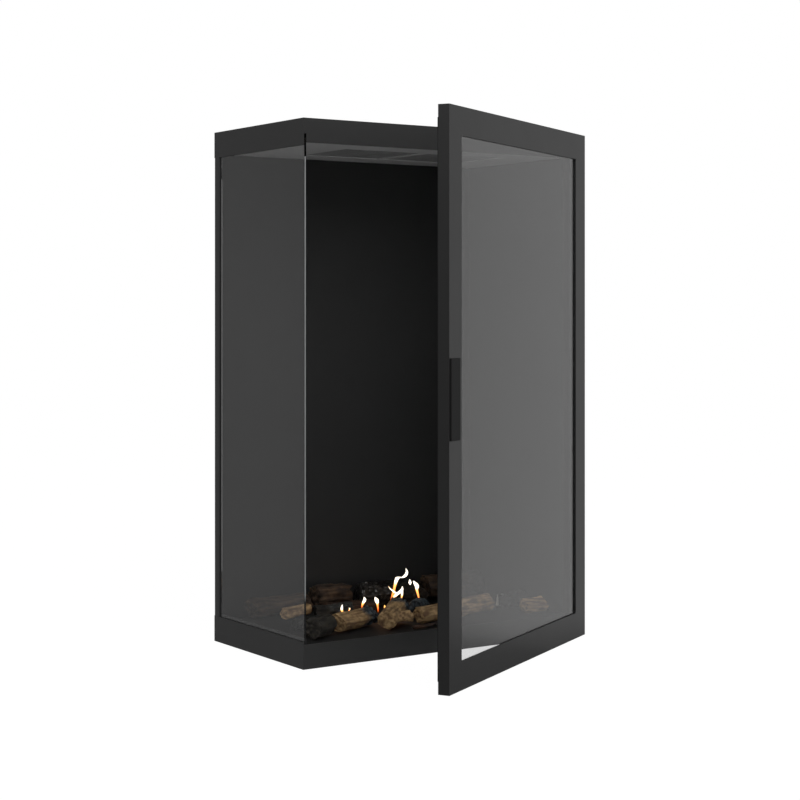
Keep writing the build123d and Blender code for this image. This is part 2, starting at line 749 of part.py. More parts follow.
def glass_beads():
    """Four angles, one along each side, that hold the glass from behind."""
    depth = DOOR_SHEET + GLASS_TAPE + DOOR_GLASS
    edge = DOOR_STILE + CLEAR
    flat = door_layer(door_outline(edge) - door_outline(edge + BEAD), depth, BEAD_SHEET)
    upright = door_layer(door_outline(edge) - door_outline(edge + BEAD_SHEET), depth, BEAD)
    frame = flat + upright
    cut = edge + BEAD + CLEAR
    corners = []
    for x in (door_left + cut, door_right - cut):
        corners.append(block(x - CLEAR, x + CLEAR, door_front_face, door_back_face, door_bottom, door_top))
    return frame - corners


def door_seal():
    """Flat tape on the door's back: beside the glass on the left, on the jamb and bands elsewhere."""
    high = door_top - door_bottom
    side = glass_right - door_left + CLEAR
    outside = [(door_left + side, door_bottom + SEAL_INSET), (door_right - SEAL_INSET, door_top - SEAL_INSET)]
    middle_x = (outside[0][0] + outside[1][0]) / 2
    middle_z = (door_bottom + door_top) / 2
    wide = outside[1][0] - outside[0][0]
    tall = high - 2 * SEAL_INSET
    outline = Rectangle(wide, tall) - Rectangle(wide - 2 * DOOR_SEAL, tall - 2 * DOOR_SEAL)
    return door_layer(Pos(middle_x, middle_z) * outline, DOOR_THICK, DOOR_SEAL_THICK)


def magnet_places():
    """Middles of the holding magnets, in the rails near the free edge."""
    x = door_left + DOOR_FACE + MAGNET_LENGTH
    inset = SEAL_INSET - MAGNET_WIDTH
    return [(x, door_bottom + inset), (x, door_top - inset)]


def magnet_pockets():
    """Openings in the door's back for the magnets."""
    pockets = []
    for x, z in magnet_places():
        hole = Pos(x, door_back_face, z) * Box(MAGNET_LENGTH + 2 * CLEAR, 4 * DOOR_SHEET, MAGNET_WIDTH + 2 * CLEAR)
        pockets.append(hole)
    return Part() + pockets


def door_magnets():
    """Two bar magnets, flush with the door's back."""
    magnets = []
    for x, z in magnet_places():
        magnets.append(Pos(x, door_back_face - MAGNET_THICK / 2, z) * Box(MAGNET_LENGTH, MAGNET_THICK, MAGNET_WIDTH))
    return Part() + magnets


def handle_plate():
    """Flat plate on the face of the free stile, with a small chamfer round its front."""
    x = door_left + HANDLE_INSET + HANDLE_WIDTH / 2
    plate = Pos(x, door_front_face - HANDLE_THICK / 2, HANDLE_MIDDLE) * Box(HANDLE_WIDTH, HANDLE_THICK, HANDLE_HEIGHT)
    return chamfer(plate.faces().sort_by(Axis.Y)[0].edges(), HANDLE_CHAMFER)


def hinge_blocks():
    """Solid blocks in the hinge stile, bored for the pins and notched for the arms."""
    x0 = door_right - DOOR_SHEET - BLOCK_WIDTH
    x1 = door_right - DOOR_SHEET - CLEAR
    y0 = door_front_face + DOOR_SHEET + CLEAR
    y1 = door_back_face - BEAD_SHEET - CLEAR
    blocks = []
    for level in arm_levels:
        body = block(x0, x1, y0, y1, level - BLOCK_HEIGHT / 2, level + BLOCK_HEIGHT / 2)
        body -= Pos(pivot_x, pivot_y, level) * Cylinder(PIN / 2 + PIN_CLEAR / 2, 2 * BLOCK_HEIGHT)
        blocks.append(body)
    return Part() + blocks - arm_notches() - hinge_edge_cut()


def hinge_pins():
    """Headed pins through the blocks and the arms."""
    r = PIN / 2
    long = BLOCK_HEIGHT / 2
    head = PIN_HEAD / 2
    top = long + PIN_HEAD_HEIGHT
    points = [(0, -long), (r, -long), (r, long), (head, long), (head, top), (0, top)]
    return Part() + [turned(points, (pivot_x, pivot_y, level), (0, 0, 1)) for level in arm_levels]


def log_section(x, diameter, phase, station, split, roll, slant):
    """One cross-section of a log: a rippled ring cut flat on its split side."""
    points = []
    for side in range(LOG_SIDES):
        angle = 2 * math.pi * side / LOG_SIDES
        ripple = math.sin(3 * angle + phase + 0.9 * station) + 0.6 * math.sin(5 * angle + 2 * phase + 1.7 * station)
        radius = diameter / 2 * (1 - LOG_RIPPLE + LOG_RIPPLE * ripple)
        y = radius * math.cos(angle)
        z = min(radius * math.sin(angle), split * diameter / 2)
        turn = math.radians(roll)
        points.append((x + slant * y, y * math.cos(turn) - z * math.sin(turn), y * math.sin(turn) + z * math.cos(turn)))
    return make_face(Polyline(*points, close=True))


def log_body(length, diameter, split, roll, phase):
    """Ceramic log along X: ruled between its sections, its two ends cut at a slant."""
    sections = []
    for station in range(LOG_STATIONS):
        share = station / (LOG_STATIONS - 1)
        slant = 0.35 * math.sin(phase + 3 * share) * (2 * share - 1)
        swell = 1 - 0.12 * share * math.cos(phase)
        sections.append(log_section(length * (share - 0.5), diameter * swell, phase, station, split, roll, slant))
    return loft(sections, ruled=True)


def near_in_plan(one, other):
    """Whether two pieces could meet when one is lowered past the other."""
    a = one.bounding_box()
    b = other.bounding_box()
    apart_x = a.min.X > b.max.X + LOG_SEAT or b.min.X > a.max.X + LOG_SEAT
    apart_y = a.min.Y > b.max.Y + LOG_SEAT or b.min.Y > a.max.Y + LOG_SEAT
    return not (apart_x or apart_y)


def lay(log, laid):
    """Set a log down on the floor, or on the logs already laid where they are in its way."""
    log = Pos(0, 0, floor_top + LOG_SEAT - log.bounding_box().min.Z) * log
    near = [other for other in laid if near_in_plan(log, other)]
    if not near or min(log.distance_to(other) for other in near) >= LOG_SEAT:
        return log
    top = max(other.bounding_box().max.Z for other in near)
    log = Pos(0, 0, top + LOG_SEAT - log.bounding_box().min.Z) * log
    while True:
        room = min(log.distance_to(other) for other in near)
        room = min(room, log.bounding_box().min.Z - floor_top)
        if room < 1.5 * LOG_SEAT:
            return log
        log = Pos(0, 0, LOG_SEAT - room) * log


def log_set():
    """All the logs by name, laid one after another."""
    laid = {}
    for name, x, y, length, diameter, turn, tilt, split, roll, phase in LOGS:
        at_x = room_left + x * (room_right - room_left) / LOG_SET_X
        at_y = room_front + y * (room_back - room_front) / LOG_SET_Y
        body = log_body(length, diameter, split, roll, phase)
        for owner, share, swing_out, stub_length, stub_diameter in STUBS:
            if owner == name:
                root = Pos(share * length, 0, 0) * Rot(0, 0, swing_out) * Pos(stub_length / 2, 0, 0)
                body += root * log_body(stub_length, stub_diameter, split, roll, phase)
        log = Pos(at_x, at_y, 0) * Rot(0, 0, turn) * Rot(0, -tilt, 0) * body
        laid[name] = lay(log, list(laid.values()))
    return laid


def casing_pieces():
    """Everything that stands still, by name."""
    grille_left, grille_right = [ceiling_grille(place) for place in window_places()]
    pieces = {
        "base_pan": base_pan(),
        "top_frame": top_frame(),
        "top_plate": top_plate(),
        "rear_casing": rear_casing(),
        "right_casing": right_casing(),
        "hinge_post": hinge_post(),
        "rear_posts": rear_posts(),
        "floor_plate": floor_plate(),
        "back_liner": back_liner(),
        "right_liner": right_liner(),
        "ceiling_panel": ceiling_panel(),
        "ceiling_grille_left": grille_left,
        "ceiling_grille_right": grille_right,
        "flue_box": flue_box(),
        "restrictor_plate": restrictor_plate(),
        "flue_inner_collar": collar(FLUE_INNER, flue_box_top, HEIGHT + COLLAR_RISE),
        "flue_outer_collar": collar(FLUE_OUTER, top_plate_top, HEIGHT + COLLAR_RISE),
        "side_glass": side_glass(),
        "side_glass_seal": side_glass_seal(),
        "side_glass_rails": side_glass_rails(),
        "burner_box": burner_box(),
        "burner_deck": burner_deck(),
        "burner_tubes": burner_tubes(),
        "gas_manifold": gas_manifold(),
        "gas_injectors": gas_injectors(),
        "gas_pipe": gas_pipe(),
        "gas_inlet_union": gas_inlet_union(),
        "pilot_bracket": pilot_bracket(),
        "pilot_burner": pilot_burner(),
        "ignition_electrode": ignition_electrode(),
        "thermocouple": thermocouple(),
        "hinge_brackets": hinge_brackets(),
        "hinge_washers": hinge_washers(),
    }
    pieces.update(log_set())
    return pieces


def door_pieces():
    """Everything that turns with the door, by name, drawn closed."""
    return {
        "door_frame": door_frame(),
        "door_back": door_back(),
        "door_glass": door_glass(),
        "door_glass_tape": door_glass_tape(),
        "glass_beads": glass_beads(),
        "door_seal": door_seal(),
        "door_magnets": door_magnets(),
        "handle_plate": handle_plate(),
        "hinge_blocks": hinge_blocks(),
        "hinge_pins": hinge_pins(),
    }


def swing(piece, angle):
    """Turn a piece of the door about the hinge line, a positive angle opening it."""
    return Pos(pivot_x, pivot_y) * Rot(0, 0, angle) * Pos(-pivot_x, -pivot_y) * piece


def main():
    """Build every piece and write one file for each."""
    os.makedirs("parts", exist_ok=True)
    pieces = casing_pieces()
    for name, piece in door_pieces().items():
        pieces[name] = swing(piece, REST_ANGLE)
    for name, piece in pieces.items():
        export_step(piece, f"parts/{name}.step")
    print(len(pieces), "pieces written")
    print(f"hinge line at {pivot_x:.2f}, {pivot_y:.2f}")


if __name__ == "__main__":
    main()
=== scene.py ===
# %% [markdown]
# # A two-sided corner fireplace
# The object is a built-in gas log fire: a folded steel casing, open to the front and the left, with a fixed
# glass pane, a hinged glass door and a bed of ceramic logs. Its rigid pieces come ready made from the CAD
# frame. This lesson gives them their finishes, dresses the logs, lights the flames and adds the fasteners.

# %% Load the frame
import math

import bmesh
import bpy
import numpy as np
from mathutils import Matrix, Vector, noise


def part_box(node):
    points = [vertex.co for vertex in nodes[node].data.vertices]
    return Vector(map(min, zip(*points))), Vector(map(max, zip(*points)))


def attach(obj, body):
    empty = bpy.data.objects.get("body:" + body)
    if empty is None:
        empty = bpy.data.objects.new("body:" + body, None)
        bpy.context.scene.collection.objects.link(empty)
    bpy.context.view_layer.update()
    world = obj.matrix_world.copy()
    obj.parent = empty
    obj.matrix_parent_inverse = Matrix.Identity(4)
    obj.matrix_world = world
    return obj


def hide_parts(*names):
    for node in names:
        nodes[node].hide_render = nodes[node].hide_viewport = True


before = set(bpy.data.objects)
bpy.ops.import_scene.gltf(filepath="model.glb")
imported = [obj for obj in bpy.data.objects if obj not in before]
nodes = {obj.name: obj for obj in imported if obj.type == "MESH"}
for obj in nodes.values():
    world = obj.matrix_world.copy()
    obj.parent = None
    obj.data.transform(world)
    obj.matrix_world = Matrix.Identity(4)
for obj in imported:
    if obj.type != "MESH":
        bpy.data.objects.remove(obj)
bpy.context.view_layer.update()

# %% [markdown]
# ## Helpers for colours, nodes and meshes
# Paint charts and screens give sRGB values, while the renderer works in linear light, so one function
# turns a hex colour to linear. A second one adds a node with its settings and links in one line. The last
# ones serve the pieces that are made here: a stack of rings of points is closed with faces and becomes an
# object that rides on a body.

# %% Define the helpers
MM = 0.001


def srgb(code):
    """Linear RGBA from an sRGB hex colour such as 2B2B2C."""
    values = [int(code[i:i + 2], 16) / 255 for i in (0, 2, 4)]
    return tuple(v / 12.92 if v <= 0.04045 else ((v + 0.055) / 1.055) ** 2.4 for v in values) + (1.0,)


def add_node(material, kind, links=None, **settings):
    """Add a node, set its properties or input values, and link its inputs to other nodes' sockets."""
    tree = material.node_tree
    node = tree.nodes.new(kind)
    for name, value in settings.items():
        if hasattr(node, name):
            setattr(node, name, value)
        else:
            node.inputs[name.replace("_", " ").title()].default_value = value
    for name, socket in (links or {}).items():
        tree.links.new(socket, node.inputs[name])
    return node


def new_material(name):
    """An empty node material and its Principled shader."""
    material = bpy.data.materials.new(name)
    material.use_nodes = True
    return material, material.node_tree.nodes["Principled BSDF"]


def plug(material, name, socket):
    """Link a socket to an input of the material's Principled shader."""
    material.node_tree.links.new(socket, material.node_tree.nodes["Principled BSDF"].inputs[name])


def add_bump(material, height, strength, distance_mm):
    """Let a height socket bump the material's surface."""
    bump = add_node(material, "ShaderNodeBump", {"Height": height}, strength=strength,
                    distance=distance_mm * MM)
    plug(material, "Normal", bump.outputs[0])


def add_object(name, data):
    """A new object in the scene."""
    item = bpy.data.objects.new(name, data)
    bpy.context.scene.collection.objects.link(item)
    return item


def skin(builder, rings):
    """Faces between rings of points that follow one another, and one across each end."""
    for low, high in zip(rings, rings[1:]):
        for k in range(len(low)):
            after = (k + 1) % len(low)
            builder.faces.new((low[k], low[after], high[after], high[k]))
    builder.faces.new(rings[0][::-1])
    builder.faces.new(rings[-1])


def built_piece(name, builder, material, body, placed=Matrix.Identity(4)):
    """What the builder holds, moved into its place, as a piece that rides on a body."""
    mesh = bpy.data.meshes.new(name)
    builder.to_mesh(mesh)
    builder.free()
    mesh.transform(placed)
    mesh.materials.append(material)
    piece = add_object(name, mesh)
    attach(piece, body)
    return piece


# %% [markdown]
# ## Camera
# The photograph was taken from the front left with a long lens and a level camera, so uprights stay
# parallel. A level camera that looks a little above the object's middle needs a vertical shift rather
# than a tilt, so the lens is shifted and the camera isn't rotated down.

# %% Place the camera
CAMERA_TURN = math.radians(-33.95)
camera_data = bpy.data.cameras.new("studio_camera")
camera_data.sensor_width = 36.0
camera_data.lens = 80.14
camera_data.shift_y = -0.1153
camera_data.clip_end = 30
camera = add_object("studio_camera", camera_data)
camera.location = (-1975.8 * MM, -2941.6 * MM, 655.5 * MM)
camera.rotation_euler = (math.radians(90), 0, CAMERA_TURN)
bpy.context.scene.camera = camera
print("camera at", [round(value, 3) for value in camera.location])

# %% [markdown]
# ## Studio
# The photograph is a catalogue picture on pure white. Black paint and glass show mostly what they mirror, so
# the world is a dim tent with a broad bright patch on the right. The open door mirrors that patch and looks
# pale, while the fixed pane and the faces turned the other way stay dark.

# %% Describe the tent's brightness
BRIGHT_SIDE = (0.99, -0.05, 0.10)
TENT_DIM = 0.23
TENT_BRIGHT = 0.50
PATCH_EDGE = 0.45
PATCH_CORE = 0.93


def tent_strength(owner, direction):
    """Strength of the tent along a direction: dim all round, brighter towards the patch on the right."""
    unit = add_node(owner, "ShaderNodeVectorMath", {0: direction}, operation="NORMALIZE")
    toward = add_node(owner, "ShaderNodeVectorMath", {0: unit.outputs[0]}, operation="DOT_PRODUCT")
    toward.inputs[1].default_value = BRIGHT_SIDE
    patch = add_node(owner, "ShaderNodeMapRange", {"Value": toward.outputs["Value"]},
                     interpolation_type="SMOOTHSTEP", from_min=PATCH_EDGE, from_max=PATCH_CORE,
                     to_min=TENT_DIM, to_max=TENT_BRIGHT)
    return patch.outputs["Result"]


def seen_straight(owner):
    """Two sockets: 1 for rays that come straight or through glass from the camera, and 1 for glossy rays."""
    rays = add_node(owner, "ShaderNodeLightPath")
    unmirrored = add_node(owner, "ShaderNodeMath", {0: rays.outputs["Glossy Depth"]}, operation="LESS_THAN")
    unmirrored.inputs[1].default_value = 0.5
    passed = {0: rays.outputs["Is Transmission Ray"], 1: unmirrored.outputs[0]}
    through = add_node(owner, "ShaderNodeMath", passed, operation="MULTIPLY")
    straight = add_node(owner, "ShaderNodeMath", {0: rays.outputs["Is Camera Ray"], 1: through.outputs[0]},
                        operation="MAXIMUM")
    return straight.outputs[0], rays.outputs["Is Glossy Ray"]


# %% Build the world
world = bpy.data.worlds.new("white_tent")
bpy.context.scene.world = world
world.use_nodes = True
world.node_tree.nodes.clear()
direction = add_node(world, "ShaderNodeTexCoord")
tent_level = tent_strength(world, direction.outputs["Generated"])
tent = add_node(world, "ShaderNodeBackground", {"Strength": tent_level})
tent.inputs["Color"].default_value = (1, 1, 1, 1)
paper = add_node(world, "ShaderNodeBackground")
paper.inputs["Color"].default_value = (1, 1, 1, 1)
straight, _ = seen_straight(world)
choice = add_node(world, "ShaderNodeMixShader", {0: straight, 1: tent.outputs[0], 2: paper.outputs[0]})
add_node(world, "ShaderNodeOutputWorld", {"Surface": choice.outputs[0]})
print("tent from", TENT_DIM, "to", TENT_BRIGHT)

# %% [markdown]
# The floor is a sheet of white paper. Seen by the camera or through glass it glows white and keeps a faint
# shadow. Seen in a mirror it carries the same brightness as the tent behind it, so that no horizon line
# crosses the panes, and it is dim close to the casing, which shades it.

# %% Lay the floor
PAPER_HALF = 9
PAPER_GLOW = 1.05
GLOW_SHARE = 0.94
SHADE_NEAR = 0.25
SHADE_FAR = 0.55
floor_mesh = bpy.data.meshes.new("studio_floor")
corners = [(-1, -1), (1, -1), (1, 1), (-1, 1)]
floor_mesh.from_pydata([(x * PAPER_HALF, y * PAPER_HALF, 0) for x, y in corners], [], [(0, 1, 2, 3)])
studio_floor = add_object("studio_floor", floor_mesh)
studio_floor.location.z = -0.5 * MM
white_paper, shader = new_material("matt_white_paper")
shader.inputs["Base Color"].default_value = srgb("E2E2E2")
shader.inputs["Roughness"].default_value = 0.9
glow = add_node(white_paper, "ShaderNodeEmission", strength=PAPER_GLOW)
straight, glossy = seen_straight(white_paper)
share = add_node(white_paper, "ShaderNodeMath", {0: straight}, operation="MULTIPLY")
share.inputs[1].default_value = GLOW_SHARE
lit = add_node(white_paper, "ShaderNodeMixShader",
               {0: share.outputs[0], 1: shader.outputs[0], 2: glow.outputs[0]})
spot = add_node(white_paper, "ShaderNodeTexCoord")
far = add_node(white_paper, "ShaderNodeVectorMath", {0: spot.outputs["Object"]}, operation="LENGTH")
near_dim = add_node(white_paper, "ShaderNodeMapRange", {"Value": far.outputs["Value"]},
                    from_min=SHADE_NEAR, from_max=SHADE_FAR, to_min=TENT_DIM, to_max=TENT_BRIGHT)
tent_level = tent_strength(white_paper, spot.outputs["Object"])
level = add_node(white_paper, "ShaderNodeMath", {0: near_dim.outputs[0], 1: tent_level}, operation="MINIMUM")
mirrored = add_node(white_paper, "ShaderNodeEmission", {"Strength": level.outputs[0]})
mirror_ray = add_node(white_paper, "ShaderNodeMath", {0: glossy, 1: straight}, operation="SUBTRACT",
                      use_clamp=True)
seen = add_node(white_paper, "ShaderNodeMixShader",
                {0: mirror_ray.outputs[0], 1: lit.outputs[0], 2: mirrored.outputs[0]})
paper_output = white_paper.node_tree.nodes["Material Output"]
white_paper.node_tree.links.new(seen.outputs[0], paper_output.inputs["Surface"])
floor_mesh.materials.append(white_paper)
print("floor half a millimetre under the casing,", 2 * PAPER_HALF, "m wide")


# %% Hang the softboxes
def softbox(name, place, aim, size, watts):
    """A square area lamp turned towards a point."""
    data = bpy.data.lights.new(name, "AREA")
    data.shape = "SQUARE"
    data.size = size
    data.energy = watts
    lamp = add_object(name, data)
    lamp.location = place
    lamp.rotation_euler = (Vector(aim) - Vector(place)).to_track_quat("-Z", "Y").to_euler()


softbox("softbox_front", (-0.6, -3.2, 3.0), (0, 0, 0.4), 2.4, 56)
softbox("softbox_left", (-3.2, -0.8, 2.4), (0, 0, 0.5), 2.0, 13)

# %% [markdown]
# ## Heat-proof paint
# The casing and the door are folded sheet steel with a satin black stove paint, sprayed and baked. The
# eye sees a soft sheen and a faint orange peel, features about 1.5 mm across. Roughness near 0.3 spreads
# the tent's reflection, and a shallow noise bump stands for the peel. The firebox and its ceiling carry
# duller enamels of the same kind, and the handle a fine powder coat.

# %% Make the paints and enamels
def stove_paint(name, code, roughness, peel_mm, peel_depth):
    """Sprayed stove paint with an orange-peel bump and a slightly uneven sheen."""
    material, shader = new_material(name)
    shader.inputs["Base Color"].default_value = srgb(code)
    shader.inputs["IOR"].default_value = 1.45
    place = add_node(material, "ShaderNodeTexCoord")
    peel = add_node(material, "ShaderNodeTexNoise", {"Vector": place.outputs["Object"]},
                    scale=1 / (peel_mm * MM), detail=2.0)
    cloud = add_node(material, "ShaderNodeTexNoise", {"Vector": place.outputs["Object"]}, scale=1 / (60 * MM))
    sheen = add_node(material, "ShaderNodeMapRange", {"Value": cloud.outputs[0]},
                     to_min=roughness - 0.03, to_max=roughness + 0.04)
    add_bump(material, peel.outputs[0], peel_depth, 0.2)
    plug(material, "Roughness", sheen.outputs[0])
    return material


satin_paint = stove_paint("satin_black_stove_paint", "373737", 0.31, 1.5, 0.12)
door_paint = stove_paint("satin_black_door_paint", "252525", 0.32, 1.5, 0.12)
matt_enamel = stove_paint("matt_black_firebox_enamel", "262626", 0.62, 1.0, 0.2)
handle_paint = stove_paint("fine_black_powder_coat", "0B0B0B", 0.70, 0.8, 0.35)
ceiling_enamel = stove_paint("grey_heat_baffle_enamel", "B0B0B0", 0.5, 1.2, 0.15)
grille_enamel = stove_paint("dark_grey_grille_enamel", "828282", 0.5, 1.2, 0.15)

# %% [markdown]
# ## Bare metals
# The hidden frame is mill steel, the burner and pins are stainless steel, and the injectors, union and
# washers are turned brass. Rolled and brushed sheet shows fine lines one way, so the noise is stretched
# along X, while turned brass is plainer and warmer. The screws are blackened zinc, with no lines at all.

# %% Make the bare metals
def worked_metal(name, code, roughness, line_mm, stretch):
    """Metal with fine working lines: a noise squeezed across the lines and stretched along them."""
    material, shader = new_material(name)
    shader.inputs["Base Color"].default_value = srgb(code)
    shader.inputs["Metallic"].default_value = 1.0
    place = add_node(material, "ShaderNodeTexCoord")
    squeeze = add_node(material, "ShaderNodeMapping", {"Vector": place.outputs["Object"]})
    squeeze.inputs["Scale"].default_value = (1 / stretch, 1, 1)
    lines = add_node(material, "ShaderNodeTexNoise", {"Vector": squeeze.outputs[0]},
                     scale=1 / (line_mm * MM), detail=3.0)
    spread = add_node(material, "ShaderNodeMapRange", {"Value": lines.outputs[0]},
                      to_min=roughness - 0.08, to_max=roughness + 0.1)
    plug(material, "Roughness", spread.outputs[0])
    add_bump(material, lines.outputs[0], 0.12, 0.1)
    return material


mill_steel = worked_metal("rolled_mill_steel", "8E8F90", 0.42, 1.2, 12)
brushed_stainless = worked_metal("brushed_stainless_steel", "C2BFBA", 0.3, 0.8, 20)
turned_brass = worked_metal("turned_brass", "C9A45C", 0.28, 0.8, 3)
black_zinc = worked_metal("blackened_zinc_screw", "4A4A4C", 0.38, 0.6, 1)

# %% [markdown]
# ## Glass, rope and ceramic
# Stove windows are clear glass-ceramic, 4 mm thick, and carry a faint smoky tint. The seals are black
# knitted glass fibre: a wave along the run stands for its stitches, about 2 mm each. The electrode is
# smooth white alumina.

# %% Make the glass, the seal and the white ceramic
glass_ceramic, shader = new_material("clear_glass_ceramic")
shader.inputs["Base Color"].default_value = srgb("EEEEEE")
shader.inputs["Transmission Weight"].default_value = 1.0
shader.inputs["Roughness"].default_value = 0.0
shader.inputs["IOR"].default_value = 1.6

fibre_seal, shader = new_material("black_glass_fibre_seal")
shader.inputs["Base Color"].default_value = srgb("1C1C1D")
shader.inputs["Roughness"].default_value = 0.9
place = add_node(fibre_seal, "ShaderNodeTexCoord")
stitches = add_node(fibre_seal, "ShaderNodeTexWave", {"Vector": place.outputs["Object"]},
                    bands_direction="DIAGONAL", scale=0.16 / (2 * MM), distortion=1.0)
add_bump(fibre_seal, stitches.outputs[0], 0.6, 0.5)

alumina, shader = new_material("fired_white_alumina")
shader.inputs["Base Color"].default_value = srgb("D9D5CC")
shader.inputs["Roughness"].default_value = 0.35
place = add_node(alumina, "ShaderNodeTexCoord")
grain = add_node(alumina, "ShaderNodeTexNoise", {"Vector": place.outputs["Object"]}, scale=1 / (1.5 * MM))
add_bump(alumina, grain.outputs[0], 0.1, 0.1)
print("plain finishes:", len(bpy.data.materials))

# %% [markdown]
# ## Give each CAD piece its finish
# A table from finish to pieces is easier to check than a line for each piece, and a piece that is left out
# is found at once.

# %% Assign the finishes
finishes = {
    satin_paint: ["base_pan", "top_frame", "rear_casing", "right_casing", "side_glass_rails"],
    ceiling_enamel: ["ceiling_panel"],
    grille_enamel: ["ceiling_grille_left", "ceiling_grille_right"],
    door_paint: ["door_frame", "door_back", "glass_beads"],
    handle_paint: ["handle_plate"],
    matt_enamel: ["floor_plate", "back_liner", "right_liner", "burner_deck"],
    mill_steel: ["top_plate", "hinge_post", "rear_posts", "flue_box", "restrictor_plate",
                 "flue_inner_collar", "flue_outer_collar", "burner_box", "gas_manifold", "hinge_brackets",
                 "hinge_blocks"],
    brushed_stainless: ["burner_tubes", "gas_pipe", "pilot_bracket", "pilot_burner", "thermocouple",
                        "door_magnets", "hinge_pins"],
    turned_brass: ["gas_injectors", "gas_inlet_union", "hinge_washers"],
    glass_ceramic: ["side_glass", "door_glass"],
    fibre_seal: ["side_glass_seal", "door_glass_tape", "door_seal"],
    alumina: ["ignition_electrode"],
}
finished = set()
for material, names in finishes.items():
    for name in names:
        nodes[name].data.materials.clear()
        nodes[name].data.materials.append(material)
        finished.add(name)
logs = sorted(name for name in nodes if name.startswith("log_"))
print("left without a finish:", sorted(set(nodes) - finished - set(logs)))

# %% [markdown]
# ## Cast ceramic logs
# The logs are cast in ceramic fibre from real firewood and painted by hand: split faces in tan, bark in
# brown, burnt parts in blue black with a cracked, checked surface. The CAD gives each one its outline.
# A copy is rebuilt as an even mesh of about 2 mm, and its points are moved along their normals: long
# ridges for grain and bark, cells for charcoal. The last part of each end is pushed in and out along the
# log, so that it looks splintered.

# %% Define the wood's noises
# Sizes of the features in mm, along the log and across it.
GRAIN_MM = 5.0
CHECK_MM = 9.0
BARK_MM = (60, 9)
SWELL_MM = (45, 22)
LUMP_MM = (16, 12)
SPLINTER_MM = 6
SHARD_MM = 2.5
GRAIN_STRETCH = 7
GRAIN_STEP = 2.3
CHECK_STRETCH = 1.5
CRACK_SHARPNESS = 3.0


def log_noise(place, seed, along_mm, across_mm):
    """Noise at a place of a log, stretched along it."""
    along, across, deep = place
    return noise.noise(Vector((along / along_mm + seed, across / across_mm, deep / across_mm)))


def grain_at(place, seed):
    """Fine grain at a place: long thin streaks in two sizes."""
    along, across, deep = place
    spot = Vector((along / (GRAIN_STRETCH * GRAIN_MM) + seed, across / GRAIN_MM, deep / GRAIN_MM))
    return noise.noise(spot) + 0.5 * noise.noise(spot * GRAIN_STEP)


def crack_at(place, seed):
    """How near a place is to the middle of a charcoal cell: 0 in the cracks, 1 inside."""
    along, across, deep = place
    spot = Vector((along / (CHECK_STRETCH * CHECK_MM) + seed, across / CHECK_MM, deep / CHECK_MM))
    gaps = noise.voronoi(spot)[0]
    return min(1.0, (gaps[1] - gaps[0]) * CRACK_SHARPNESS)


def splinter_at(place, seed):
    """How far the end stands out: the same all along a fibre, so it leaves the along part out."""
    fibre = (0, place[1], place[2])
    return log_noise(fibre, seed, SPLINTER_MM, SPLINTER_MM) + 0.5 * log_noise(fibre, seed, SHARD_MM, SHARD_MM)


# %% Define how a log is carved
VOXEL_MM = 1.9
SKIN_MM = 1.3
TIP_FROM = 0.72
TIP_SHARE = 0.28
TIP_CUT_MM = 2.5
TIP_RAGGED_MM = 4.5
SWELL_DEPTH_MM = 2.2
CRACK_DEPTH_MM = 2.6
CRACK_LEVEL = 0.7
CHAR_WANDER = 0.35
CHAR_EDGE = 3.5
FLOOR_TOP_MM = 45.05


def even_copy(name):
    """A copy of a log's solid with an even mesh and softened corners."""
    piece = add_object("cast_" + name, nodes[name].data.copy())
    remesh = piece.modifiers.new("even_mesh", "REMESH")
    remesh.mode = "VOXEL"
    remesh.voxel_size = VOXEL_MM * MM
    smooth = piece.modifiers.new("soft_corners", "SMOOTH")
    smooth.iterations = 3
    depsgraph = bpy.context.evaluated_depsgraph_get()
    even = bpy.data.meshes.new_from_object(piece.evaluated_get(depsgraph))
    piece.modifiers.clear()
    piece.data = even
    return piece


def log_frame(points):
    """The middle of a log and its long, middle and short directions, found from the spread of its points."""
    middle = points.mean(axis=0)
    axes = np.linalg.eigh(np.cov((points - middle).T))[1][:, ::-1]
    if axes[0, 0] < 0:
        axes[:, 0] = -axes[:, 0]
    return middle, axes


def carve_point(place, station, looks, seed):
    """How far a point moves along its normal and along the log, in mm, and its burn, grain and shade."""
    grain, bark, char_from = looks
    fine = grain_at(place, seed)
    crack = crack_at(place, seed)
    broad = log_noise(place, seed, *SWELL_MM)
    lump = log_noise(place, seed, *LUMP_MM)
    ridge = 1 - 2 * abs(log_noise(place, seed, *BARK_MM)) * 1.6
    burnt = min(1.0, max(0.0, (station + CHAR_WANDER * broad - char_from) * CHAR_EDGE))
    wood = grain * fine + bark * ridge + SWELL_DEPTH_MM * broad + 1.3 * bark * lump
    charcoal = CRACK_DEPTH_MM * (crack - CRACK_LEVEL) + 0.5 * fine + 1.8 * broad + 1.2 * lump
    tip = min(1.0, max(0.0, (abs(station) - TIP_FROM) / TIP_SHARE))
    pulled = math.copysign(1.0, station) * tip * (TIP_CUT_MM + TIP_RAGGED_MM * splinter_at(place, seed))
    shade = crack if burnt > 0.3 else 0.5 + 0.5 * ridge
    return wood * (1 - burnt) + charcoal * burnt - SKIN_MM, pulled, (burnt, 0.5 + 0.5 * fine, shade)


